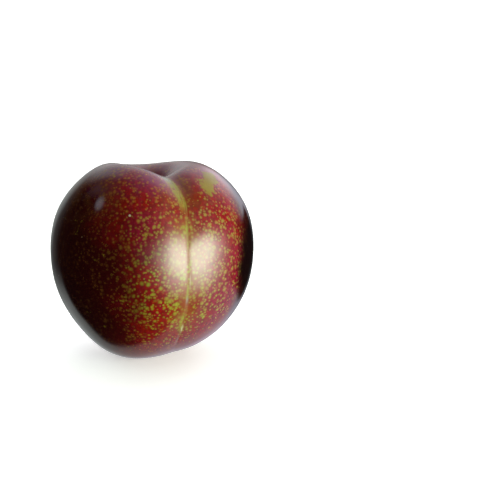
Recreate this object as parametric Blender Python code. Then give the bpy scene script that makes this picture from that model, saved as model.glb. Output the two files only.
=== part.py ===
"""A dark red plum, whole, lying on its underside with its stem end up.

The fruit grew as one piece, so it is one solid. Its skin is given by one rule: the distance from the
middle of the fruit in each direction. The rule starts from a ball and adds the full shoulders, the
two unequal halves, the stem pit and the suture, the groove that runs down the front from the pit.
Directions are given by a polar angle, 0 at the stem end and 180 underneath, and by a turn round the
upright axis, 0 at the suture and positive towards +X. The suture faces -Y.
"""

from collections import namedtuple
from math import asin, atan2, cos, exp, pi, radians, sin, sqrt, tau

import bmesh
import bpy
from mathutils import Vector

MM = 0.001

# The ball that the fruit starts from, wider across the suture than through it
BODY_RADIUS = 27.3 * MM
SQUASH = 1.2 * MM

# Shoulders and waist, each centred at a height given as a share of the radius
SHOULDER_RISE = 2.8 * MM
SHOULDER_HEIGHT = 0.66
SHOULDER_SPREAD = 0.48
TAPER = 0.35 * MM
TAPER_HEIGHT = -0.62
TAPER_SPREAD = 0.42

# Swellings: how far the skin rises, where, and over how many degrees it falls off
Swelling = namedtuple("Swelling", "rise turn polar spread")
LEFT_SHOULDER = Swelling(rise=3.2 * MM, turn=-68, polar=20, spread=26)
RIGHT_SHOULDER = Swelling(rise=1.4 * MM, turn=80, polar=20, spread=26)
BACK_RIM = Swelling(rise=-1.2 * MM, turn=165, polar=24, spread=26)
LOWER_CHEEK = Swelling(rise=1.6 * MM, turn=-70, polar=150, spread=22)
SWELLINGS = (LEFT_SHOULDER, RIGHT_SHOULDER, BACK_RIM, LOWER_CHEEK)

# Stem pit, and in its floor the scar where the stalk came away, with a raised lip
PIT = Swelling(rise=-8.7 * MM, turn=0, polar=0, spread=14.5)
SCAR_RADIUS = 1.9 * MM
SCAR_DEPTH = 0.5 * MM
SCAR_LIP = 0.35 * MM
SCAR_LIP_WIDTH = 0.7 * MM

# Suture: a broad valley, deepest at the pit, with a fine crease along its floor
VALLEY_DEPTH = 2.1 * MM
VALLEY_WIDTH = 4.4 * MM
VALLEY_KEPT = 0.15
VALLEY_DEEP_UNTIL = 12
VALLEY_SHALLOW_FROM = 85
CREASE_DEPTH = 0.25 * MM
CREASE_WIDTH = 0.6 * MM

# The suture's line, by degrees round from the pit: it bows aside twice and drifts underneath
UPPER_BOW = 1.9 * MM
UPPER_BOW_AT = 40
UPPER_BOW_SPREAD = 17
LOWER_BOW = -0.5 * MM
LOWER_BOW_AT = 125
LOWER_BOW_SPREAD = 22
DRIFT = 6.5 * MM
DRIFT_FROM = 135
DRIFT_TO = 200
SUTURE_STARTS = 12
SUTURE_ENDS_FROM = 178
SUTURE_ENDS = 200

# Blunt point where the flower was, beside the spot the fruit rests on
TIP_AT = 192
TIP_RISE = 0.6 * MM
TIP_SPREAD = 6

# The fruit's own weight flattens it this far where it rests
REST_CUT = 0.7 * MM

# Mesh: rings from the stem end down and meridians round, closer together where the form is finer
RINGS = 46
RING_CROWDING = 0.4
MERIDIANS = 76
MERIDIAN_CROWDING = 0.7
BEND_FADES_FROM = 140
BEND_FADES_TO = 165

SKIN_COLOUR = (0.16, 0.017, 0.012, 1.0)
SKIN_ROUGHNESS = 0.28


def bell(distance, width):
    """1 at no distance, falling off smoothly on both sides."""
    return exp(-((distance / width) ** 2))


def ease(value, start, end):
    """0 up to the start, 1 from the end on, smooth between."""
    share = min(max((value - start) / (end - start), 0.0), 1.0)
    return share * share * (3.0 - 2.0 * share)


def direction(turn, polar):
    """The unit direction at a turn from the suture and a polar angle from the stem end, in degrees."""
    ring = sin(radians(polar))
    return Vector((sin(radians(turn)) * ring, -cos(radians(turn)) * ring, cos(radians(polar))))


def patch(way, centre, spread):
    """1 in the centre direction, falling off round it over the spread, in degrees."""
    return exp(-2.0 * (1.0 - way.dot(centre)) / radians(spread) ** 2)


def round_from_pit(way):
    """Degrees round the suture's plane: 0 at the pit, 90 in front, 180 underneath, then up behind."""
    angle = atan2(-way.y, way.z)
    if angle < -pi / 2:
        angle += tau
    return angle / radians(1)


def suture_offset(around):
    """How far the suture's line lies towards +X, by degrees round from the pit."""
    upper = UPPER_BOW * bell(around - UPPER_BOW_AT, UPPER_BOW_SPREAD)
    lower = LOWER_BOW * bell(around - LOWER_BOW_AT, LOWER_BOW_SPREAD)
    return upper + lower + DRIFT * ease(around, DRIFT_FROM, DRIFT_TO)


def suture_depth(way, radius):
    """How far the valley and its crease sink the skin in this direction."""
    around = round_from_pit(way)
    aside = way.x * radius - suture_offset(around)
    along = ease(around, -SUTURE_STARTS, SUTURE_STARTS) * (1.0 - ease(around, SUTURE_ENDS_FROM, SUTURE_ENDS))
    kept = VALLEY_KEPT + (1.0 - VALLEY_KEPT) * (1.0 - ease(around, VALLEY_DEEP_UNTIL, VALLEY_SHALLOW_FROM))
    valley = kept * VALLEY_DEPTH * bell(aside, VALLEY_WIDTH)
    crease = CREASE_DEPTH / (1.0 + (aside / CREASE_WIDTH) ** 2)
    return along * (valley + crease)


def scar_height(way, radius):
    """The stalk's scar: a sunk disc inside a raised lip, by the distance from the upright axis."""
    if way.z < 0.0:
        return 0.0
    off_axis = radius * sqrt(way.x ** 2 + way.y ** 2)
    lip = SCAR_LIP * bell(off_axis - SCAR_RADIUS, SCAR_LIP_WIDTH)
    return lip - SCAR_DEPTH * (1.0 - ease(off_axis, 0.5 * SCAR_RADIUS, SCAR_RADIUS))


def tip_direction():
    """The blunt point lies on the suture's line, past the underside's middle."""
    aside = suture_offset(TIP_AT) / BODY_RADIUS
    rest = sqrt(1.0 - aside ** 2)
    return Vector((aside, -sin(radians(TIP_AT)) * rest, cos(radians(TIP_AT)) * rest))


def skin_radius(way):
    """The distance from the middle of the fruit to its skin in a unit direction."""
    radius = BODY_RADIUS + SQUASH * (way.x ** 2 - way.y ** 2)
    radius += SHOULDER_RISE * bell(way.z - SHOULDER_HEIGHT, SHOULDER_SPREAD)
    radius -= TAPER * bell(way.z - TAPER_HEIGHT, TAPER_SPREAD)
    for swelling in SWELLINGS + (PIT,):
        centre = direction(swelling.turn, swelling.polar)
        radius += swelling.rise * patch(way, centre, swelling.spread)
    radius -= suture_depth(way, radius)
    radius += scar_height(way, radius)
    return radius + TIP_RISE * patch(way, tip_direction(), TIP_SPREAD)


def ring_polar(ring):
    """A ring's polar angle in degrees, with the rings crowded towards the two ends."""
    share = ring / RINGS
    return 180.0 * (share - RING_CROWDING * sin(tau * share) / tau)


def meridian_turn(meridian, polar):
    """A meridian's turn in degrees, crowded at the suture and bent to run along it."""
    share = 2.0 * meridian / MERIDIANS - 1.0
    turn = 180.0 * (share - MERIDIAN_CROWDING * sin(pi * share) / pi)
    ring_size = BODY_RADIUS * max(sin(radians(polar)), sin(radians(180 - BEND_FADES_TO)))
    bend = asin(suture_offset(polar) / ring_size) / radians(1)
    bend *= 1.0 - ease(polar, BEND_FADES_FROM, BEND_FADES_TO)
    return turn + bend * (1.0 + cos(radians(turn))) / 2.0


def skin_point(turn, polar):
    way = direction(turn, polar)
    return way * skin_radius(way)


def skin_material():
    material = bpy.data.materials.new("plum_skin")
    material.use_nodes = True
    shader = material.node_tree.nodes["Principled BSDF"]
    shader.inputs["Base Color"].default_value = SKIN_COLOUR
    shader.inputs["Roughness"].default_value = SKIN_ROUGHNESS
    shader.inputs["Metallic"].default_value = 0.0
    return material


def fruit_mesh():
    """The skin as rings of four-sided faces, closed by a fan at the stem end and one underneath."""
    mesh = bmesh.new()
    top = mesh.verts.new(skin_point(0, 0))
    bottom = mesh.verts.new(skin_point(0, 180))
    rings = []
    for ring in range(1, RINGS):
        polar = ring_polar(ring)
        rings.append([mesh.verts.new(skin_point(meridian_turn(m, polar), polar)) for m in range(MERIDIANS)])
    for m in range(MERIDIANS):
        n = (m + 1) % MERIDIANS
        mesh.faces.new((top, rings[0][m], rings[0][n]))
        mesh.faces.new((bottom, rings[-1][n], rings[-1][m]))
        for upper, lower in zip(rings, rings[1:]):
            mesh.faces.new((upper[m], lower[m], lower[n], upper[n]))
    bmesh.ops.recalc_face_normals(mesh, faces=mesh.faces)
    return mesh


def cut_rest_spot(mesh):
    """Cuts the underside flat and puts the middle of that spot at the origin."""
    height = min(vertex.co.z for vertex in mesh.verts) + REST_CUT
    parts = mesh.verts[:] + mesh.edges[:] + mesh.faces[:]
    cut = bmesh.ops.bisect_plane(
        mesh, geom=parts, plane_co=(0, 0, height), plane_no=(0, 0, 1), clear_inner=True
    )
    rim = [part for part in cut["geom_cut"] if isinstance(part, bmesh.types.BMEdge)]
    bmesh.ops.edgeloop_fill(mesh, edges=rim)
    corners = {vertex for edge in rim for vertex in edge.verts}
    middle_x = (min(v.co.x for v in corners) + max(v.co.x for v in corners)) / 2
    middle_y = (min(v.co.y for v in corners) + max(v.co.y for v in corners)) / 2
    bmesh.ops.translate(mesh, verts=mesh.verts[:], vec=(-middle_x, -middle_y, -height))
    for vertex in corners:
        vertex.co.z = 0.0
    bmesh.ops.recalc_face_normals(mesh, faces=mesh.faces)


def make_plum():
    mesh = fruit_mesh()
    cut_rest_spot(mesh)
    data = bpy.data.meshes.new("plum")
    mesh.to_mesh(data)
    mesh.free()
    data.materials.append(skin_material())
    data.shade_smooth()
    plum = bpy.data.objects.new("plum", data)
    bpy.context.scene.collection.objects.link(plum)
    return plum


for leftover in list(bpy.data.objects):
    bpy.data.objects.remove(leftover, do_unlink=True)
make_plum()
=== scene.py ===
from collections import namedtuple
from math import cos, pi, radians, sin, sqrt, tau

import bpy
from mathutils import Matrix, Vector


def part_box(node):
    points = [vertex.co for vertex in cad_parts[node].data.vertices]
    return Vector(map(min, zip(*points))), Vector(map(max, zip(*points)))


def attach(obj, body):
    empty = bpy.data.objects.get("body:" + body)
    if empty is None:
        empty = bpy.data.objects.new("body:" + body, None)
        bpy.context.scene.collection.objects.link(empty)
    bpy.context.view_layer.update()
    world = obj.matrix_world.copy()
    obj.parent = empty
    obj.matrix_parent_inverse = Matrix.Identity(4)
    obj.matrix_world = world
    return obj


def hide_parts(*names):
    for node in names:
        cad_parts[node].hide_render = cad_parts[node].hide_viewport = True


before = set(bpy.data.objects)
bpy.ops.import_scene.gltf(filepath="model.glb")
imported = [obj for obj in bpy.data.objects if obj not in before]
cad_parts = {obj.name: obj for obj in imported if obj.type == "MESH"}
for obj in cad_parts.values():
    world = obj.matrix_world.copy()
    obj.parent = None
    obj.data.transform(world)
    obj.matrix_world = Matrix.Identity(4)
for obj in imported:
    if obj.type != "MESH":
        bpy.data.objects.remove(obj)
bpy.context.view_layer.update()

# The body of the fruit. A plum grows as one closed piece round its stone: near a ball, with full
# shoulders, a pit where the stalk held it, and a groove, the suture, down its front. One rule gives how
# far its skin is from its middle in each direction, and a node tree works that out on a fine ball.
MM = 0.001
MERIDIANS = 310
ROUNDS = 300
MERIDIAN_CROWDING = 0.7
ROUND_CROWDING = 0.4

# Sizes are the tree's inputs. Heights on the body, with no unit, are shares of the radius.
SIZES = {
    "Body radius": 27.3 * MM,
    "Squash": 1.2 * MM,
    "Shoulder rise": 2.8 * MM,
    "Shoulder height": 0.66,
    "Shoulder spread": 0.48,
    "Taper": 0.35 * MM,
    "Taper height": -0.62,
    "Taper spread": 0.42,
    "Left shoulder": 3.2 * MM,
    "Right shoulder": 1.4 * MM,
    "Back rim": -1.2 * MM,
    "Lower cheek": 1.6 * MM,
    "Pit": -8.7 * MM,
    "Valley depth": 2.1 * MM,
    "Valley width": 4.4 * MM,
    "Valley kept": 0.15,
    "Crease depth": 0.24 * MM,
    "Crease width": 0.8 * MM,
    "Crease grain": 6.0 * MM,
    "Crease kept": 0.3,
    "Upper bow": 1.9 * MM,
    "Lower bow": -0.5 * MM,
    "Drift": 6.5 * MM,
    "Scar radius": 1.9 * MM,
    "Scar depth": 0.5 * MM,
    "Scar lip": 0.35 * MM,
    "Scar lip width": 0.7 * MM,
    "Tip rise": 0.6 * MM,
    "Relief": 0.16 * MM,
    "Relief grain": 7.0 * MM,
    "Relief seed": 3.0,
}

# Where the swellings sit: turn from the suture, polar angle from the stem end, spread, in degrees
SWELLINGS = {
    "Left shoulder": (-68, 20, 26),
    "Right shoulder": (80, 20, 26),
    "Back rim": (165, 24, 26),
    "Lower cheek": (-70, 150, 22),
    "Pit": (0, 0, 14.5),
}

# The suture's line, in degrees round from the pit: middles and spreads, then starts and ends
UPPER_BOW = (40, 17)
LOWER_BOW = (125, 22)
CREASE_DEEP = (66, 24)
DRIFT_FROM = 135
DRIFT_TO = 200
SUTURE_STRETCH = (-12, 12, 178, 200)
VALLEY_SHALLOWS = (12, 85)
BEND_FADES = (140, 165)
TIP_AT = 192
TIP_SPREAD = 6

# Where in a random field the crease is gone and where it is whole, the share of the scar that is flat,
# and how softly the skin turns into the spot that it rests on
CREASE_BREAKS = (0.1, 0.6)
SCAR_FLOOR = 0.5
REST_EDGE = 0.2 * MM


class Wire:
    """One output of a node in a tree. Arithmetic on it adds Math nodes."""

    def __init__(self, tree, output=None):
        self.tree = tree
        self.output = output

    def node(self, kind, settings=None, feeds=None, output=0):
        """Adds a node: its settings first, then the wires or the values of its inputs."""
        made = self.tree.nodes.new(kind)
        for name, value in (settings or {}).items():
            setattr(made, name, value)
        for name, value in (feeds or {}).items():
            if isinstance(value, Wire):
                self.tree.links.new(value.output, made.inputs[name])
            else:
                made.inputs[name].default_value = value
        return Wire(self.tree, made.outputs[output])

    def beside(self, output):
        """Another output of the same node."""
        return Wire(self.tree, self.output.node.outputs[output])

    def parts(self):
        """The three numbers of a vector."""
        apart = self.node("ShaderNodeSeparateXYZ", {}, {0: self})
        return [apart.beside(axis) for axis in range(3)]

    def maths(self, operation, *others):
        """A Math node that takes this wire and then the others."""
        return self.node("ShaderNodeMath", {"operation": operation}, dict(enumerate((self, *others))))

    def maths_after(self, operation, first):
        """A Math node that takes something else before this wire."""
        return self.node("ShaderNodeMath", {"operation": operation}, {0: first, 1: self})

    def dot(self, other):
        """How far two directions agree: 1 where they are the same."""
        return self.node("ShaderNodeVectorMath", {"operation": "DOT_PRODUCT"}, {0: self, 1: other}, 1)

    def __add__(self, other):
        return self.maths("ADD", other)

    __radd__ = __add__

    def __sub__(self, other):
        return self.maths("SUBTRACT", other)

    def __rsub__(self, other):
        return self.maths_after("SUBTRACT", other)

    def __mul__(self, other):
        return self.maths("MULTIPLY", other)

    __rmul__ = __mul__

    def __truediv__(self, other):
        return self.maths("DIVIDE", other)

    def __rtruediv__(self, other):
        return self.maths_after("DIVIDE", other)

    def __pow__(self, other):
        return self.maths("POWER", other)


def bell(distance, width):
    """1 at no distance, falling off smoothly on both sides."""
    share = distance / width
    return (share * share * -1.0).maths("EXPONENT")


def ease(value, start, end, before=0.0, after=1.0):
    """One value up to the start and another from the end on, with a smooth change between."""
    feeds = {"Value": value, "From Min": start, "From Max": end, "To Min": before, "To Max": after}
    return value.node("ShaderNodeMapRange", {"interpolation_type": "SMOOTHSTEP"}, feeds)


def stretch(around, start, full, fading, end):
    """1 along a stretch of the suture, fading out at both ends, in degrees round from the pit."""
    return ease(around, start, full) * ease(around, fading, end, 1.0, 0.0)


def direction(turn, polar):
    """The unit direction at a turn from the suture and a polar angle from the stem end, in degrees."""
    ring = sin(radians(polar))
    return Vector((sin(radians(turn)) * ring, -cos(radians(turn)) * ring, cos(radians(polar))))


def patch(way, centre, spread):
    """1 in the centre direction, falling off round it over the spread, in degrees."""
    return ((way.dot(centre) - 1.0) * (2.0 / radians(spread) ** 2)).maths("EXPONENT")


def noise(place, grain, detail=2.0):
    """A soft random field from 0 to 1 with grains of one size."""
    return place.node("ShaderNodeTexNoise", {}, {"Vector": place, "Scale": 1.0 / grain, "Detail": detail})


def suture_offset(size, around):
    """How far the suture's line lies towards +X, by degrees round from the pit."""
    upper = size["Upper bow"] * bell(around - UPPER_BOW[0], UPPER_BOW[1])
    lower = size["Lower bow"] * bell(around - LOWER_BOW[0], LOWER_BOW[1])
    return upper + lower + size["Drift"] * ease(around, DRIFT_FROM, DRIFT_TO)


def tip_direction():
    """The blunt point lies on the suture's line, past the underside's middle."""
    share = (TIP_AT - DRIFT_FROM) / (DRIFT_TO - DRIFT_FROM)
    aside = SIZES["Drift"] * share * share * (3.0 - 2.0 * share) / SIZES["Body radius"]
    rest = sqrt(1.0 - aside ** 2)
    return Vector((aside, -sin(radians(TIP_AT)) * rest, cos(radians(TIP_AT)) * rest))


def ball_direction(size, ball_spot):
    """A direction for each corner of the ball, crowded at the poles and along the suture."""
    x, y, z = ball_spot.parts()
    share = z.maths("ARCCOSINE") / pi
    polar = (share - (share * tau).maths("SINE") * (ROUND_CROWDING / tau)) * pi
    share = x.maths("ARCTAN2", y * -1.0) / pi
    turn = (share - (share * pi).maths("SINE") * (MERIDIAN_CROWDING / pi)) * pi

    polar_degrees = polar / radians(1)
    ring = polar.maths("SINE").maths("MAXIMUM", sin(radians(180 - BEND_FADES[1])))
    bend = (suture_offset(size, polar_degrees) / (size["Body radius"] * ring)).maths("ARCSINE")
    bend = bend * ease(polar_degrees, *BEND_FADES, 1.0, 0.0)
    turn = turn + bend * (1.0 + turn.maths("COSINE")) / 2.0

    ring = polar.maths("SINE")
    right, back = turn.maths("SINE") * ring, turn.maths("COSINE") * ring * -1.0
    return z.node("ShaderNodeCombineXYZ", {}, {0: right, 1: back, 2: polar.maths("COSINE")})


def round_from_pit(y, z):
    """Degrees round the suture's plane: 0 at the pit, 90 in front, 180 underneath, then up behind."""
    angle = (y * -1.0).maths("ARCTAN2", z)
    return (angle + angle.maths("LESS_THAN", -pi / 2) * tau) / radians(1)


def suture_depth(size, way, around, aside):
    """How far the valley and the uneven crease along its floor sink the skin."""
    kept = ease(around, *VALLEY_SHALLOWS, 1.0, size["Valley kept"])
    valley = kept * size["Valley depth"] * bell(aside, size["Valley width"])
    uneven = ease(noise(way, size["Crease grain"] / size["Body radius"], 1.0), *CREASE_BREAKS)
    deep = size["Crease kept"] + (1.0 - size["Crease kept"]) * bell(around - CREASE_DEEP[0], CREASE_DEEP[1])
    crease = size["Crease depth"] * uneven * deep / (1.0 + (aside / size["Crease width"]) ** 2.0)
    return stretch(around, *SUTURE_STRETCH) * (valley + crease)


def scar_height(size, off_axis):
    """The stalk's scar, by the distance from the upright axis: a sunk disc inside a raised lip."""
    edge = size["Scar radius"]
    lip = size["Scar lip"] * bell(off_axis - edge, size["Scar lip width"])
    return lip - ease(off_axis, edge * SCAR_FLOOR, edge, size["Scar depth"], 0.0)


def relief(size, way):
    """The skin's own low unevenness, up and down."""
    feeds = {"Vector": way, "W": size["Relief seed"], "Detail": 1.0}
    feeds["Scale"] = size["Body radius"] / size["Relief grain"]
    uneven = way.node("ShaderNodeTexNoise", {"noise_dimensions": "4D"}, feeds)
    return (uneven - 0.5) * size["Relief"]


def body_tree(material):
    """The node tree of the body, with one input for each size."""
    tree = bpy.data.node_groups.new("plum_body", "GeometryNodeTree")
    tree.interface.new_socket("Geometry", in_out="OUTPUT", socket_type="NodeSocketGeometry")
    for name in SIZES:
        tree.interface.new_socket(name, in_out="INPUT", socket_type="NodeSocketFloat")
    entry = tree.nodes.new("NodeGroupInput")
    size = {name: Wire(tree, entry.outputs[name]) for name in SIZES}
    start = Wire(tree)
    corners = {"Segments": MERIDIANS, "Rings": ROUNDS, "Radius": 1.0}
    body = start.node("GeometryNodeMeshUVSphere", {}, corners)
    way = ball_direction(size, start.node("GeometryNodeInputPosition"))
    x, y, z = way.parts()

    radius = size["Body radius"] + size["Squash"] * (x * x - y * y)
    radius = radius + size["Shoulder rise"] * bell(z - size["Shoulder height"], size["Shoulder spread"])
    radius = radius - size["Taper"] * bell(z - size["Taper height"], size["Taper spread"])
    for name, (turn, polar, spread) in SWELLINGS.items():
        radius = radius + size[name] * patch(way, direction(turn, polar), spread)
    around = round_from_pit(y, z)
    aside = x * radius - suture_offset(size, around)
    radius = radius - suture_depth(size, way, around, aside)
    off_axis = radius * (x * x + y * y).maths("SQRT")
    radius = radius + scar_height(size, off_axis) * z.maths("GREATER_THAN", 0.0)
    radius = radius + size["Tip rise"] * patch(way, tip_direction(), TIP_SPREAD)
    radius = radius + relief(size, way)

    for kind, name, value in (
        ("FLOAT_VECTOR", "way", way),
        ("FLOAT", "aside", aside),
        ("FLOAT", "around", around),
        ("FLOAT", "off_axis", off_axis),
    ):
        feeds = {"Geometry": body, "Name": name, "Value": value}
        body = start.node("GeometryNodeStoreNamedAttribute", {"data_type": kind, "domain": "POINT"}, feeds)
    skin = way.node("ShaderNodeVectorMath", {"operation": "SCALE"}, {0: way, "Scale": radius})
    body = start.node("GeometryNodeSetPosition", {}, {"Geometry": body, "Position": skin})
    body = start.node("GeometryNodeSetShadeSmooth", {}, {"Geometry": body})
    body = start.node("GeometryNodeRealizeInstances", {}, {"Geometry": body})
    body = start.node("GeometryNodeSetMaterial", {}, {"Geometry": body, "Material": material})
    leave = tree.nodes.new("NodeGroupOutput")
    tree.links.new(body.output, leave.inputs[0])
    return tree


def make_body(material):
    """The body as a plain mesh, in the place of the plain solid and flat where it rests."""
    fruit = bpy.data.objects.new("plum_fruit", bpy.data.meshes.new("plum_fruit"))
    bpy.context.scene.collection.objects.link(fruit)
    modifier = fruit.modifiers.new("body", "NODES")
    modifier.node_group = body_tree(material)
    for item in modifier.node_group.interface.items_tree:
        if item.in_out == "INPUT":
            modifier[item.identifier] = SIZES[item.name]
    view = bpy.context.evaluated_depsgraph_get()
    mesh = bpy.data.meshes.new_from_object(fruit.evaluated_get(view), depsgraph=view)
    fruit.modifiers.remove(modifier)
    fruit.data = mesh
    high = Vector(max(corner.co[axis] for corner in mesh.vertices) for axis in range(3))
    mesh.transform(Matrix.Translation(Vector(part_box("plum")[1]) - high))
    for corner in mesh.vertices:
        height = corner.co.z
        corner.co.z = (height + sqrt(height ** 2 + REST_EDGE ** 2)) / 2
    return fruit


# The skin: a thin, taut, glossy peel that grows with the fruit. It is dark red on its left side and redder
# beside the suture, with pale green-yellow dots where it breathes, a greenish, corky suture, and a thin
# violet bloom of wax on the shoulders. Painted shade darkens the left side, partly the skin's own tone,
# paints the right side near-black and darkens the underside; the bloom is partly painted sheen, and a few
# pale specks are painted glints. The colours are linear.
# Dark skin, which the painted shade also uses on the left, on the right and underneath
DARK_AND_SHADED_SKIN = (0.018, 0.0009, 0.0009, 1)
# Near-black painted shade on the right cheek
SHADE_BLACK_SKIN = (0.003, 0.0004, 0.0006, 1)
RED_SKIN = (0.165, 0.0042, 0.0020, 1)
CRIMSON_SKIN = (0.150, 0.0045, 0.0165, 1)
DEEP_SKIN = (0.075, 0.0030, 0.0030, 1)
WARM_SKIN = (0.165, 0.050, 0.014, 1)
OLIVE_SKIN = (0.075, 0.030, 0.006, 1)
SMUDGE_BROWN = (0.085, 0.028, 0.007, 1)
SUTURE_GREEN = (0.160, 0.150, 0.015, 1)
# Pale suture colour, also painting the glints of the specks and of one grain
SUTURE_PALE_AND_GLINT = (0.300, 0.240, 0.160, 1)
SUTURE_GREY = (0.170, 0.170, 0.150, 1)
# Brown of the painted shade on the right flank, and of the rings in the stalk's scar
FLANK_SHADE_AND_RING_BROWN = (0.075, 0.020, 0.009, 1)
PATCH_GREEN = (0.155, 0.115, 0.008, 1)
DOT_OLIVE = (0.175, 0.212, 0.016, 1)
DOT_BROWN = (0.222, 0.086, 0.010, 1)
DOT_TAN = (0.198, 0.155, 0.026, 1)
CORK = (0.180, 0.110, 0.055, 1)
# Violet of the wax bloom, partly painted sheen
BLOOM_AND_SHEEN_VIOLET = (0.122, 0.048, 0.150, 1)

# Grains of the soft random fields. Streaks run along the suture, so their length is in degrees. A torn
# edge follows the fine field and the blotches, by these amounts.
MOTTLE_GRAIN = 9 * MM
BLOTCH_GRAIN = 4 * MM
FINE_GRAIN = 1.2 * MM
STREAK_WIDTH = 0.35 * MM
STREAK_LENGTH = 8.0
TORN_FINE = 1.2
TORN_BLOTCHY = 1.6

# Sides of the fruit under painted shade: turn and polar angle of the middle, unevenness of the edge, and the
# nearness to the middle, as a cosine, where the side starts and where it is full. The dark left side is
# partly the skin's own tone and partly painted shade; the right side and its near-black middle are painted
# shade, which fades behind.
DARK_AND_SHADED_SIDE = (-98, 92, 0.5, 0.0, 0.70)
RIGHT_SHADE_SIDE = (98, 92, 0.12, 0.42, 0.58)
BACK_SIDE = (172, 88, 0.6, 0.2, 1.0)
BLACK_SHADE_SIDE = (64, 88, 0.05, 0.87, 0.945)
FAR_SIDE = (122, 90, 0.3, 0.58, 0.95)
FAR_SIDE_SHADE = (122, 90, 0.3, 0.45, 0.95)
# The painted shade eases towards the top and bottom and behind the right side; the near-black shade fades at
# the far side
SHADE_EASED_TOP_AND_BOTTOM = 0.15
BACK_PALER = 0.9
FAR_SIDE_PALER = 0.8
FAR_SIDE_DARK = 0.35
BLACK_SHADE_BLOTCHY = 0.06

# Small flecks: grain, where in the random field they start and are full, and amount
CRIMSON_FLECKS = (1.9 * MM, 0.45, 0.62, 0.45)
DEEP_FLECKS = (1.0 * MM, 0.40, 0.62, 0.6)
SMUDGES = (2.2 * MM, 0.48, 0.68, 0.4)

# Soft round patches: amount, then turn, polar angle and spread in degrees
CRIMSON_PATCHES = ((0.5, 20, 90, 34), (0.35, -24, 64, 18))
OLIVE_PATCHES = ((0.5, -74, 39, 15),)
# Painted shade under the fruit and low on its right
PAINTED_SHADE_PATCHES = ((0.4, 52, 122, 24), (0.4, -10, 158, 24))
# The bloom's patch beside the pit, partly painted sheen
BLOOM_PATCHES = ((0.2, -10, 27, 9),)
GREEN_PATCHES = ((1.0, 47, 34, 4.6), (1.0, 38, 38, 4.8), (1.0, 31, 42, 3.8))
# Painted glints: two small pale specks
GLINT_SPECKS = ((1.0, -36, 52, 0.9), (1.0, -65, 66, 0.6))
PIT_PATCHES = ((0.6, 0, 0, 8),)

# Smooth changes: where each starts and ends, and the values before and after if they aren't 0 and 1. A
# bare number under one is how uneven or how strong that layer is.
CRIMSON_BLOTCHES = (0.42, 0.68)
CRIMSON_BLOTCHY = 0.6
WARMTH_FADES = (108, 135, 0.75, 0.0)
WARM_MOTTLES = (0.25, 0.6)
TAWNY_STREAKS = (0.3, 0.6)
OLIVE_BLOTCHES = (0.3, 0.6)
BLOOM_RISES = (0.72, 1.0, 0.0, 0.3)
BLOOM_UNEVEN = 0.5
GREEN_PATCH_EDGE = (0.4, 0.8)
GREEN_PATCH_TORN = 1.2
GREEN_PATCH_STRENGTH = 0.85
GLINT_SPECK_EDGE = (0.3, 0.8)
PIT_EDGE = (0.5, 0.6)
SCAR_EDGE = (1.7 * MM, 2.3 * MM, 1.0, 0.0)
SCAR_UNEVEN = 1.5 * MM

# Dots: the cell that each has to itself and its radius, how their sizes vary, and where they are larger,
# greener or fainter. They are dimmer under the painted shade and painted fainter where the window's
# highlight falls. The tan ones lie higher and further right.
LARGE_DOTS = (1.5 * MM, 0.78 * MM)
SMALL_DOTS = (1.0 * MM, 0.52 * MM)
DOT_WOBBLE = 0.4
DOT_LEAST = 0.65
DOT_CHANCE = 0.45
DOT_EDGE = (0.05, 1.0, 1.0, 0.0)
TINIEST_REACH = 0.02
CLUSTER_GRAIN = 4.5 * MM
CLUSTERS = (0.35, 0.65, 0.62, 1.0)
LUSH_EDGE = (0.20, 0.70)
LUSH_UNEVEN = 0.5
TAN_EDGE = (0.35, 0.65)
TAN_UPWARD = 0.25
TAN_RIGHTWARD = 0.012 / MM
DOT_STRENGTH = 0.85
DOTS_FADED = 0.2
DOTS_SHADED = 0.75
DOTS_IN_BLACK_SHADE = 0.95
PLENTY_PATCHES = (
    (0.36, -14, 91, 33),
    (0.15, 24, 62, 30),
    (0.4, -11, 98, 5),
    (0.3, -12, 118, 4),
    (0.4, -68, 34, 16),
    (0.3, 16, 98, 16),
    (-0.3, 34, 130, 22),
)
LUSH_PATCHES = ((1.0, 8, 88, 50),)
# Where the dots are painted fainter under the window's highlight
HIGHLIGHT_FADED_DOT_PATCHES = ((0.5, 10, 74, 9), (0.4, -9, 74, 8))

# Soft strands along the suture: amount, place off its line and width in mm, middle and length in degrees
TAWNY_STRANDS = ((0.7, 0.3, 2.2, 58, 8),)
# Painted shade on the right flank beside the pit
FLANK_SHADE_STRANDS = ((0.7, 1.9, 1.3, 32, 9),)
BROWN_STRANDS = ((0.6, -0.3, 1.3, 106, 7),)
GREEN_STRANDS = (
    (1.0, -0.2, 0.34, 59, 4.5),
    (0.5, -0.2, 0.3, 69, 4),
    (1.0, -0.25, 0.3, 95, 4.5),
    (1.0, -0.6, 0.55, 114, 2.6),
    (1.0, -0.35, 0.6, 122, 3.2),
    (0.9, 0.2, 0.22, 45, 4),
)
# The lower pale strand is a painted highlight on a raised grain of the suture
PALE_AND_GLINT_STRANDS = ((0.6, 0.35, 0.22, 89, 4), (1.0, 0.05, 0.25, 123, 2.8))
GREY_STRANDS = ((0.7, -1.4, 1.2, 25, 4), (0.6, -0.2, 0.3, 101, 2.5), (0.35, -0.3, 0.35, 135, 6))
GREEN_BREAKS = (0.2, 0.5)

# Zones along the suture: places off its line and widths, then the olive band, as smooth changes in
# degrees round from the pit
SMUDGED_ZONE = (2.0 * MM, 11 * MM)
WARM_ZONE = (-0.8 * MM, 5.0 * MM)
SEAM_ZONE = (-0.1 * MM, 0.6 * MM)
SEAM_STRETCH = (20, 50, 120, 150)
BAND_STRETCH = (20, 28, 42, 52)
BAND_OFF_LINE = (35, 46, 1.2 * MM, 0.8 * MM)
BAND_HALF_WIDTH = (32, 50, 1.7 * MM, 1.2 * MM)
BAND_EDGE = (0.5, 1.15, 1.0, 0.0)
BAND_TORN = 0.3
BAND_STREAKS = (0.35, 0.6, 0.40, 0.90)

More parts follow.
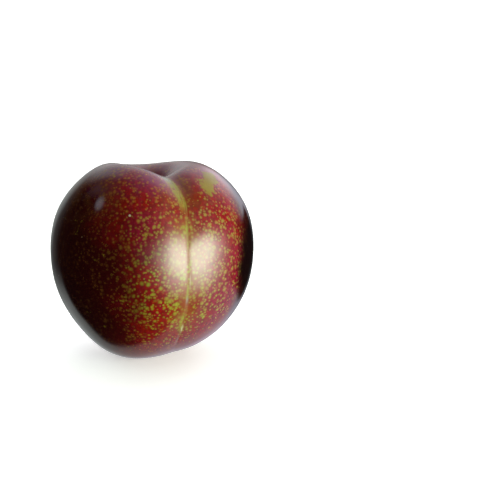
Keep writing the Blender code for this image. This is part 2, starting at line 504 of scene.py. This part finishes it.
# Rings in the stalk's scar: distance from the upright axis and width, and their strength where faintest
SCAR_RINGS = ((1.1 * MM, 0.35 * MM), (0.0, 0.4 * MM))
FAINTEST_RING = 0.4

# The clean skin's roughness, wax coat and bumps, and what each layer adds to or takes from them
SKIN_ROUGHNESS = 0.12
ROUGHER = {"bloom_and_sheen": 0.3, "dots": 0.05, "scar": 0.5, "seam": 0.3}
SKIN_WAX = 0.65
LESS_WAX = {"scar": 0.65, "bloom_and_sheen": 0.5, "seam": 0.5, "black_shade": 0.35, "green patch": 0.35, "band": 0.4}
WAX_ROUGHNESS = 0.08
SKIN_SPECULAR = 0.22
DOT_BUMP = 0.2
FINE_BUMP = 0.35
SCAR_BUMP = 3.0
BUMP_STRENGTH = 0.25
BUMP_HEIGHT = 0.05 * MM

Skin = namedtuple("Skin", "spot way height aside around off_axis mottle blotch fine streak torn")


def read_skin(start):
    """What the skin's layers are worked out from: places on the body, and soft random fields."""
    spot = start.node("ShaderNodeTexCoord", output="Object")
    way = start.node("ShaderNodeAttribute", {"attribute_name": "way"}, output="Vector")
    aside, around, off_axis = (
        start.node("ShaderNodeAttribute", {"attribute_name": name}, output="Fac")
        for name in ("aside", "around", "off_axis")
    )
    mottle = noise(spot, MOTTLE_GRAIN, 3.0)
    blotch = noise(spot, BLOTCH_GRAIN)
    fine = noise(spot, FINE_GRAIN, 3.0)
    lengthwise = start.node("ShaderNodeCombineXYZ", {}, {0: aside / STREAK_WIDTH, 1: around / STREAK_LENGTH})
    streak = noise(lengthwise, 1.0)
    torn = (fine - 0.5) * TORN_FINE + (blotch - 0.5) * TORN_BLOTCHY
    return Skin(spot, way, way.parts()[2], aside, around, off_axis, mottle, blotch, fine, streak, torn)


def mixed(share, below, above):
    """One colour over another, by a share from 0 to 1."""
    return share.node("ShaderNodeMix", {"data_type": "RGBA"}, {0: share, 6: below, 7: above}, 2)


def side(skin, turn, polar, uneven, start, full, more=0.0):
    """1 on one side of the fruit, with a soft, uneven edge."""
    near = skin.way.dot(direction(turn, polar)) + (skin.mottle - 0.5) * uneven
    return ease(near + more, start, full)


def flecks(skin, grain, start, full, amount):
    """Small flecks where a random field of their own is high."""
    return ease(noise(skin.spot, grain), start, full, 0.0, amount)


def patches(skin, table):
    """The patches of a table, laid one on another."""
    return sum(
        patch(skin.way, direction(turn, polar), spread) * amount for amount, turn, polar, spread in table
    )


def beside_suture(skin, off_line, width):
    """1 on a line beside the suture's, falling off on both sides."""
    return bell(skin.aside - off_line, width)


def strands(skin, table):
    """The strands of a table, laid one on another."""
    return sum(
        beside_suture(skin, off_line * MM, width * MM) * bell(skin.around - middle, length) * amount
        for amount, off_line, width, middle, length in table
    )


def shade_share(skin):
    """How much painted shade darkens the skin: most on the left side, where it is partly the skin's own dark
    tone, eased towards the top and bottom, and on the right side but not behind it.
    """
    dark_and_shaded = side(skin, *DARK_AND_SHADED_SIDE, more=skin.height * skin.height * -SHADE_EASED_TOP_AND_BOTTOM)
    rightward = side(skin, *RIGHT_SHADE_SIDE) * (1.0 - side(skin, *BACK_SIDE) * BACK_PALER)
    return dark_and_shaded.maths("MAXIMUM", rightward)


def black_shade_share(skin):
    """Near-black painted shade on the right cheek, which fades round towards the back."""
    shaded_cheek = side(skin, *BLACK_SHADE_SIDE, more=(skin.blotch - 0.5) * BLACK_SHADE_BLOTCHY)
    shaded_cheek = shaded_cheek * (1.0 - side(skin, *FAR_SIDE) * FAR_SIDE_PALER)
    return shaded_cheek.maths("MAXIMUM", side(skin, *FAR_SIDE_SHADE) * FAR_SIDE_DARK)


def bloom_and_sheen_share(skin):
    """The violet wax on the shoulders and in the valley beside the pit, partly real bloom and partly painted
    sheen.
    """
    uneven_height = skin.height + (skin.mottle - 0.5) * BLOOM_UNEVEN
    return ease(uneven_height, *BLOOM_RISES) + patches(skin, BLOOM_PATCHES)


def red_colour(skin):
    """The skin's own reds: crimson blotches and dark flecks, warmer along the suture."""
    crimson = ease(skin.blotch * CRIMSON_BLOTCHY + patches(skin, CRIMSON_PATCHES), *CRIMSON_BLOTCHES)
    crimson = crimson.maths("MAXIMUM", flecks(skin, *CRIMSON_FLECKS))
    colour = mixed(crimson, RED_SKIN, CRIMSON_SKIN)
    colour = mixed(flecks(skin, *DEEP_FLECKS), colour, DEEP_SKIN)
    colour = mixed(flecks(skin, *SMUDGES) * beside_suture(skin, *SMUDGED_ZONE), colour, SMUDGE_BROWN)
    warmth = beside_suture(skin, *WARM_ZONE) * ease(skin.around, *WARMTH_FADES)
    colour = mixed(warmth * ease(skin.mottle, *WARM_MOTTLES), colour, WARM_SKIN)
    return mixed(strands(skin, TAWNY_STRANDS) * ease(skin.streak, *TAWNY_STREAKS), colour, WARM_SKIN)


def ground_colour(skin, shade, black_shade, bloom_and_sheen):
    """The reds under the painted shade, with the skin's own olive, darker painted shade underneath, the
    near-black painted shade on the right, and the bloom and painted sheen over them.
    """
    colour = mixed(shade, red_colour(skin), DARK_AND_SHADED_SKIN)
    colour = mixed(patches(skin, OLIVE_PATCHES) * ease(skin.blotch, *OLIVE_BLOTCHES), colour, OLIVE_SKIN)
    # Darker painted shade underneath and low on the right
    colour = mixed(patches(skin, PAINTED_SHADE_PATCHES), colour, DARK_AND_SHADED_SKIN)
    colour = mixed(black_shade, colour, SHADE_BLACK_SKIN)
    return mixed(bloom_and_sheen, colour, BLOOM_AND_SHEEN_VIOLET)


def dots(skin, cell, radius, plenty):
    """Soft, uneven dots, one in each cell, larger where there are plenty."""
    wobble = noise(skin.spot, cell, 1.0).beside("Color")
    feeds = {0: wobble, 1: (DOT_WOBBLE * cell,) * 3, 2: skin.spot}
    place = skin.spot.node("ShaderNodeVectorMath", {"operation": "MULTIPLY_ADD"}, feeds)
    found = place.node("ShaderNodeTexVoronoi", {}, {"Vector": place, "Scale": 1.0 / cell})
    chance = found.beside("Color").parts()[0]
    reach = plenty * (DOT_LEAST + DOT_CHANCE * chance) * (radius / cell)
    return ease(found / reach.maths("MAXIMUM", TINIEST_REACH), *DOT_EDGE)


def dot_share(skin):
    """Dots of two sizes, together."""
    plenty = ease(noise(skin.spot, CLUSTER_GRAIN), *CLUSTERS) + patches(skin, PLENTY_PATCHES)
    return dots(skin, *LARGE_DOTS, plenty).maths("MAXIMUM", dots(skin, *SMALL_DOTS, plenty))


def add_dots(skin, colour, dotted, shade, black_shade):
    """Olive and tan dots in front, browner ones elsewhere, dimmer under the painted shade, and painted
    fainter where the window's highlight falls.
    """
    lush = ease(patches(skin, LUSH_PATCHES) + (skin.blotch - 0.5) * LUSH_UNEVEN, *LUSH_EDGE)
    tan = ease(skin.blotch + skin.height * TAN_UPWARD + skin.aside * TAN_RIGHTWARD, *TAN_EDGE)
    dot_colour = mixed(lush, DOT_BROWN, mixed(tan, DOT_OLIVE, DOT_TAN))
    # The dots darken and fade under the painted shade
    dot_colour = mixed(shade * DOTS_SHADED, dot_colour, DARK_AND_SHADED_SKIN)
    dot_colour = mixed(black_shade * DOTS_IN_BLACK_SHADE, dot_colour, SHADE_BLACK_SKIN)
    strength = DOT_STRENGTH - shade * DOTS_FADED - patches(skin, HIGHLIGHT_FADED_DOT_PATCHES)
    return mixed(dotted * strength, colour, dot_colour)


def band_share(skin):
    """The olive band beside the upper suture: streaky, with torn edges, and narrower lower down."""
    off_band = (skin.aside + ease(skin.around, *BAND_OFF_LINE)).maths("ABSOLUTE")
    off_band = off_band / ease(skin.around, *BAND_HALF_WIDTH) + skin.torn * BAND_TORN
    band = ease(off_band, *BAND_EDGE) * stretch(skin.around, *BAND_STRETCH)
    return band * ease(skin.streak, *BAND_STREAKS)


def add_suture(skin, colour, band):
    """The suture's corky strands, over painted shade on the right flank, with a painted glint among the pale
    strands.
    """
    colour = mixed(strands(skin, FLANK_SHADE_STRANDS), colour, FLANK_SHADE_AND_RING_BROWN)
    colour = mixed(strands(skin, BROWN_STRANDS), colour, WARM_SKIN)
    green = band.maths("MAXIMUM", strands(skin, GREEN_STRANDS)) * ease(skin.fine, *GREEN_BREAKS)
    colour = mixed(green, colour, SUTURE_GREEN)
    colour = mixed(strands(skin, PALE_AND_GLINT_STRANDS), colour, SUTURE_PALE_AND_GLINT)
    return mixed(strands(skin, GREY_STRANDS), colour, SUTURE_GREY)


def add_scar(skin, colour, scar, on_top):
    """The pit's olive floor, and in it the stalk's cork disc with its darker rings."""
    colour = mixed(patches(skin, PIT_PATCHES), colour, OLIVE_SKIN)
    colour = mixed(scar, colour, CORK)
    rings = sum(bell(skin.off_axis - distance, width) for distance, width in SCAR_RINGS)
    return mixed(rings * on_top * (FAINTEST_RING + skin.fine * (1.0 - FAINTEST_RING)), colour, FLANK_SHADE_AND_RING_BROWN)


def skin_material():
    material = bpy.data.materials.new("plum_skin")
    material.use_nodes = True
    tree = material.node_tree
    shader = tree.nodes["Principled BSDF"]
    skin = read_skin(Wire(tree))

    # Painted shade: partly the skin's own dark tone on the left, painted shade on the right
    shade = shade_share(skin)
    on_top = ease(skin.height, *PIT_EDGE)
    off_scar = skin.off_axis + (skin.fine - 0.5) * SCAR_UNEVEN
    # The near-black painted shade on the right, and the bloom, partly painted sheen, are layers too
    layers = {
        "black_shade": black_shade_share(skin),
        "bloom_and_sheen": bloom_and_sheen_share(skin),
        "dots": dot_share(skin),
        "band": band_share(skin),
        "green patch": ease(patches(skin, GREEN_PATCHES) + skin.torn * GREEN_PATCH_TORN, *GREEN_PATCH_EDGE),
        "scar": ease(off_scar, *SCAR_EDGE) * on_top,
        "seam": beside_suture(skin, *SEAM_ZONE) * stretch(skin.around, *SEAM_STRETCH),
    }
    colour = ground_colour(skin, shade, layers["black_shade"], layers["bloom_and_sheen"])
    colour = add_dots(skin, colour, layers["dots"], shade, layers["black_shade"])
    colour = add_suture(skin, colour, layers["band"])
    colour = mixed(layers["green patch"] * GREEN_PATCH_STRENGTH, colour, PATCH_GREEN)
    # Painted glints on the upper left
    colour = mixed(ease(patches(skin, GLINT_SPECKS), *GLINT_SPECK_EDGE), colour, SUTURE_PALE_AND_GLINT)
    colour = add_scar(skin, colour, layers["scar"], on_top)
    roughness = SKIN_ROUGHNESS + sum(layers[name] * amount for name, amount in ROUGHER.items())
    wax = SKIN_WAX - sum(layers[name] * amount for name, amount in LESS_WAX.items())
    height = layers["dots"] * DOT_BUMP + skin.fine * FINE_BUMP + layers["scar"] * skin.fine * SCAR_BUMP
    feeds = {"Height": height, "Strength": BUMP_STRENGTH, "Distance": BUMP_HEIGHT}
    bumps = height.node("ShaderNodeBump", {}, feeds)

    feeds = {"Base Color": colour, "Roughness": roughness, "Coat Weight": wax, "Normal": bumps}
    for name, wire in feeds.items():
        tree.links.new(wire.output, shader.inputs[name])
    shader.inputs["Coat Roughness"].default_value = WAX_ROUGHNESS
    shader.inputs["Specular IOR Level"].default_value = SKIN_SPECULAR
    shader.inputs["Metallic"].default_value = 0.0
    return material


fruit = make_body(skin_material())
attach(fruit, "root")
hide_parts("plum")

# The table and the curtain round it: a plain, matt, near-white round board, which the fruit stands on
# and throws its shadow on, and a lit white curtain hung all the way round at the board's edge.
TABLE_RADIUS = 2.2
TABLE_COLOUR = (0.9, 0.9, 0.9, 1)
TABLE_ROUGHNESS = 0.9
TABLE_GLOW = 0.5
CURTAIN_HEIGHT = 3.0
CURTAIN_SIDES = 64
CURTAIN_GLOW = 1.1


def stage_board(name, corners, faces, glow):
    """A plain pale board that is only looked at: it doesn't light the fruit or show in its gloss."""
    mesh = bpy.data.meshes.new(name)
    mesh.from_pydata(corners, [], faces)
    board = bpy.data.objects.new(name, mesh)
    bpy.context.scene.collection.objects.link(board)
    material = bpy.data.materials.new(name)
    material.use_nodes = True
    shader = material.node_tree.nodes["Principled BSDF"]
    shader.inputs["Base Color"].default_value = TABLE_COLOUR
    shader.inputs["Roughness"].default_value = TABLE_ROUGHNESS
    shader.inputs["Emission Color"].default_value = TABLE_COLOUR
    shader.inputs["Emission Strength"].default_value = glow
    mesh.materials.append(material)
    board.visible_glossy = False
    board.visible_diffuse = False
    board.visible_shadow = False


SIDES = range(CURTAIN_SIDES)
FOOT = [direction(360 * side_number / CURTAIN_SIDES, 90) * TABLE_RADIUS for side_number in SIDES]
HEAD = [corner + Vector((0, 0, CURTAIN_HEIGHT)) for corner in FOOT]
FOLDS = [(left, (left + 1) % CURTAIN_SIDES) for left in SIDES]
CURTAIN_FACES = [(left, right, right + CURTAIN_SIDES, left + CURTAIN_SIDES) for left, right in FOLDS]
stage_board("table", FOOT, [tuple(SIDES)], TABLE_GLOW)
stage_board("curtain", FOOT + HEAD, CURTAIN_FACES, CURTAIN_GLOW)

# The studio that lights the fruit and is mirrored in its gloss: a wide, soft window to the front right, a
# small one high on the left, a pale ceiling and walls, and a dark card on the right. Broad suns, which the
# gloss doesn't mirror, light the table and the far side. Each place is a turn from the front and a rise.
MIDDLE = (Vector(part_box("plum")[0]) + Vector(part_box("plum")[1])) / 2
WINDOW_COLOUR = (0.86, 0.98, 0.80, 1)
SIDE_WINDOW_COLOUR = (0.75, 0.88, 1.0, 1)
PALE = (0.93, 1.0, 0.98, 1)
COOL = (0.88, 0.90, 1.05, 1)
ROOM_GLOW = 0.012

# Windows and the dark card: turn, rise, width and height in degrees, then the windows' glow
WINDOWS = ((27, -5, 60, 46, 15.0), (34, 40, 64, 50, 0.6))
CARD = (107, -14.5, 54, 31)
CARD_SQUARENESS = 2.0

# Round zones of the room: turn, rise, reach and softness in degrees, and glow
SIDE_WINDOW = ((-103, 43, 4, 4, 1.6),)
CEILING = ((150, 45, 37, 9, 0.57), (178, 42, 18, 9, 0.3))
RIGHT_WALL = ((118, 36, 26, 14, 0.5), (124, 14, 18, 6, 0.45), (132, 4, 14, 5, 0.45))
BACK_WALL = ((175, 4, 14, 9, 0.28),)

# Smooth changes over the room, by the nearness to a turn or by how far down, then the values before and
# after: a glimmer at the back, the lit part of the table, and the right half of the room. The dark card
# ends softly, a window fades from its middle, and neither is seen from its back.
GLIMMER_TURN = 175
GLIMMER = (0.75, 0.98, 0.0, 0.1)
LIT_TABLE_TURN = 125
LIT_TABLE_SIDE = (-0.02, 0.12)
LIT_TABLE_DOWN = (0.25, 0.55, 0.0, 0.65)
LIT_TABLE_LEFT = 0.7
RIGHT_HALF_TURN = 90
RIGHT_HALF = (0.1, 0.5)
CARD_EDGE = (0.7, 1.3)
TURNED_AWAY = (0.0, 0.2, 20.0, 0.0)
WINDOW_FALL_OFF = 1.5

# Suns: turn, rise, strength and spread in degrees
SUNS = {"overhead": (0, 90, 1.0, 100), "back_right": (122, 5, 2.5, 60), "back_left": (-158, 5, 2.5, 60)}


def light_from(turn, rise):
    """The direction of something seen from the fruit at a turn and a rise."""
    return direction(turn, 90 - rise)


def nearness(ray, turn, rise):
    """1 for a ray straight to a place, 0 for one at a right angle to it."""
    return ray.dot(light_from(turn, rise))


def zones(ray, table):
    """Round parts of the room, each lit inside its reach, with a soft edge."""
    return sum(
        ease(nearness(ray, turn, rise), cos(radians(reach + soft)), cos(radians(reach - soft)), 0.0, glow)
        for turn, rise, reach, soft, glow in table
    )


def off_centre(ray, turn, rise, width, height, squareness=1.0):
    """0 in the middle of something in the room and 1 at its rim, its width and height in degrees."""
    across = nearness(ray, turn + 90, 0) / sin(radians(width / 2))
    upward = nearness(ray, turn, rise + 90) / sin(radians(height / 2))
    turned_away = ease(nearness(ray, turn, rise), *TURNED_AWAY)
    return (across * across) ** squareness + (upward * upward) ** squareness + turned_away


def windows(ray, table):
    """Windows hung with thin curtains, each brightest in its middle."""
    return sum(
        (off_centre(ray, turn, rise, width, height) ** WINDOW_FALL_OFF * -1.0).maths("EXPONENT") * glow
        for turn, rise, width, height, glow in table
    )


def make_world():
    world = bpy.data.worlds.new("studio")
    world.use_nodes = True
    tree = world.node_tree
    ray = Wire(tree).node("ShaderNodeTexCoord", output="Generated")
    down = ray.parts()[2] * -1.0
    back_wall = zones(ray, BACK_WALL) + ease(nearness(ray, GLIMMER_TURN, 0), *GLIMMER)
    lit_table = ease(nearness(ray, LIT_TABLE_TURN, 0), *LIT_TABLE_SIDE) * ease(down, *LIT_TABLE_DOWN)
    rightward = ease(nearness(ray, RIGHT_HALF_TURN, 0), *RIGHT_HALF)
    left_table = lit_table * (1.0 - rightward) * LIT_TABLE_LEFT
    card = ease(off_centre(ray, *CARD, CARD_SQUARENESS), *CARD_EDGE)
    glows = (
        (WINDOW_COLOUR, windows(ray, WINDOWS)),
        (SIDE_WINDOW_COLOUR, zones(ray, SIDE_WINDOW)),
        (PALE, zones(ray, CEILING) + back_wall + left_table + ROOM_GLOW),
        (COOL, (zones(ray, RIGHT_WALL) + lit_table * rightward) * card),
    )
    light = None
    for colour, strength in glows:
        glow = ray.node("ShaderNodeBackground", {}, {"Color": colour, "Strength": strength})
        light = glow if light is None else ray.node("ShaderNodeAddShader", {}, {0: light, 1: glow})
    tree.links.new(light.output, tree.nodes["World Output"].inputs["Surface"])
    tree.nodes.remove(tree.nodes["Background"])
    bpy.context.scene.world = world


def make_sun(name, turn, rise, strength, spread):
    """A broad, even light from one side, which isn't seen in the gloss."""
    light = bpy.data.lights.new(name, "SUN")
    light.energy = strength
    light.angle = radians(spread)
    lamp = bpy.data.objects.new(name, light)
    lamp.rotation_mode = "QUATERNION"
    lamp.rotation_quaternion = light_from(turn, rise).to_track_quat("Z", "Y")
    lamp.visible_glossy = False
    bpy.context.scene.collection.objects.link(lamp)


make_world()
for name, place in SUNS.items():
    make_sun(name, *place)
bpy.context.scene.view_settings.view_transform = "Standard"

# The camera: a long lens that looks a little down on the fruit from the left of its suture. The fruit
# stands left of the picture's middle.
CAMERA_TURN = -21.5
CAMERA_RISE = 15
CAMERA_DISTANCE = 397 * MM
CAMERA_LENS = 100
AIM_RIGHT = 27.8 * MM
AIM_UP = 1.06 * MM


def make_camera():
    back = light_from(CAMERA_TURN, CAMERA_RISE)
    right = direction(CAMERA_TURN + 90, 90)
    camera = bpy.data.objects.new("camera", bpy.data.cameras.new("camera"))
    camera.data.lens = CAMERA_LENS
    camera.location = MIDDLE + back * CAMERA_DISTANCE
    aim = MIDDLE + right * AIM_RIGHT + back.cross(right) * AIM_UP
    camera.rotation_mode = "QUATERNION"
    camera.rotation_quaternion = (aim - camera.location).to_track_quat("-Z", "Y")
    bpy.context.scene.collection.objects.link(camera)
    bpy.context.scene.camera = camera


make_camera()
